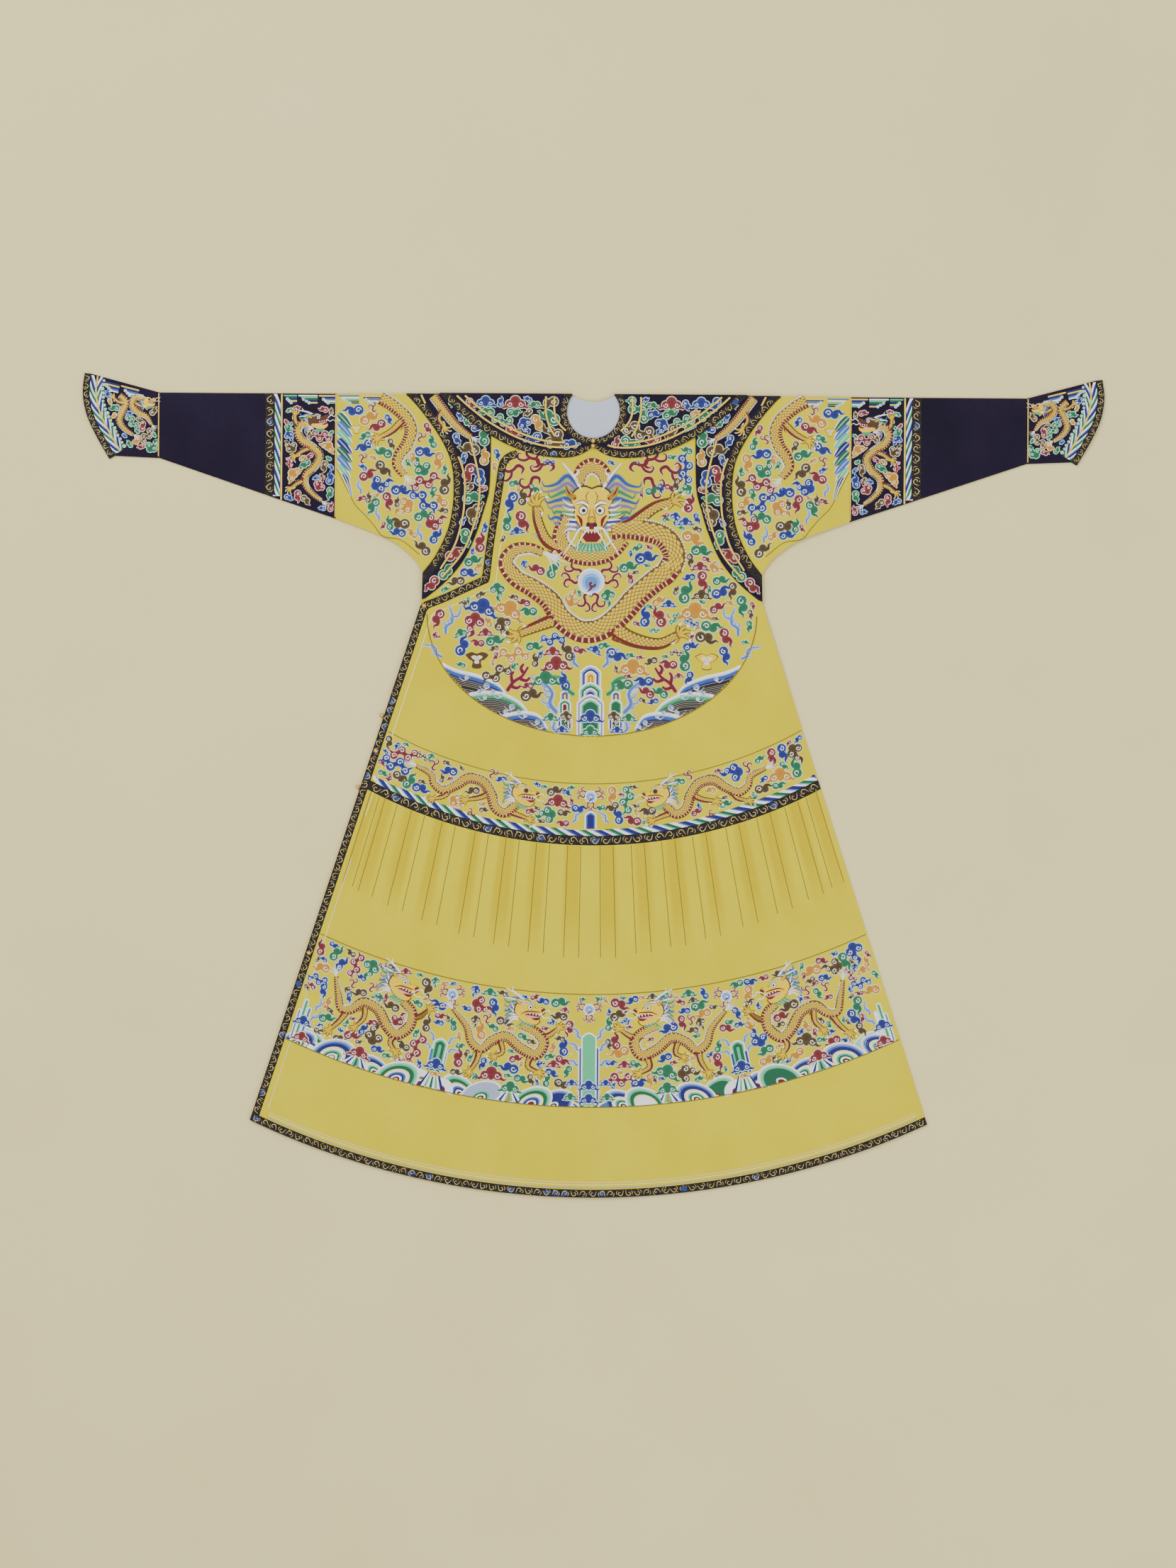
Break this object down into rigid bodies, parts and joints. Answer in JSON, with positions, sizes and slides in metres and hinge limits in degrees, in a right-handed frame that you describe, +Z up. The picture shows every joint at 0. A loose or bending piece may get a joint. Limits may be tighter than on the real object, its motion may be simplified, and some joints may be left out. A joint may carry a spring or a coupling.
{
  "type": "court robe",
  "caption": "Full-length court robe of lined silk, laid flat on its back, with a pleated skirt, a flap front, a broad collar, shoulder wings and flared cuffs.",
  "frame": {"origin": "middle of the robe's outline, on the surface it lies on", "axes": "+Z up out of the laid cloth, +Y towards the neck, +X towards the wearer's left sleeve"},
  "size_m": [1.823, 1.4652, 0.017],
  "materials": {
    "yellow_silk": "woven silk with a soft sheen",
    "navy_silk": "woven silk with a soft sheen",
    "black_brocade": "brocade edging",
    "blue_lining": "plain lining silk",
    "gilt_button": "gilt"
  },
  "bodies": {
    "root": {"back_body": "yellow_silk", "back_hem_trim": "black_brocade", "back_skirt": "yellow_silk", "back_waist_trim": "black_brocade", "back_waistband": "yellow_silk", "button_1": "gilt_button", "button_2": "gilt_button", "button_3": "gilt_button", "button_4": "gilt_button", "button_5": "gilt_button", "button_6": "gilt_button", "button_7": "gilt_button", "collar": "navy_silk", "collar_edge_trim": "black_brocade", "collar_neck_trim": "black_brocade", "cuff_left": "navy_silk", "cuff_right": "navy_silk", "cuff_trim_left": "black_brocade", "cuff_trim_right": "black_brocade", "front_edge_trim": "black_brocade", "front_inner_body": "yellow_silk", "front_inner_skirt": "yellow_silk", "front_outer_body": "yellow_silk", "front_skirt": "yellow_silk", "front_waistband": "yellow_silk", "hem_trim": "black_brocade", "neck_lining": "blue_lining", "sleeve_band_left": "navy_silk", "sleeve_band_right": "navy_silk", "sleeve_band_trim_left": "black_brocade", "sleeve_band_trim_right": "black_brocade", "sleeve_lower_left": "navy_silk", "sleeve_lower_right": "navy_silk", "sleeve_upper_left": "yellow_silk", "sleeve_upper_right": "yellow_silk", "waist_trim": "black_brocade", "wing_left": "navy_silk", "wing_right": "navy_silk", "wing_trim_left": "black_brocade", "wing_trim_right": "black_brocade"}
  },
  "joints": []
}
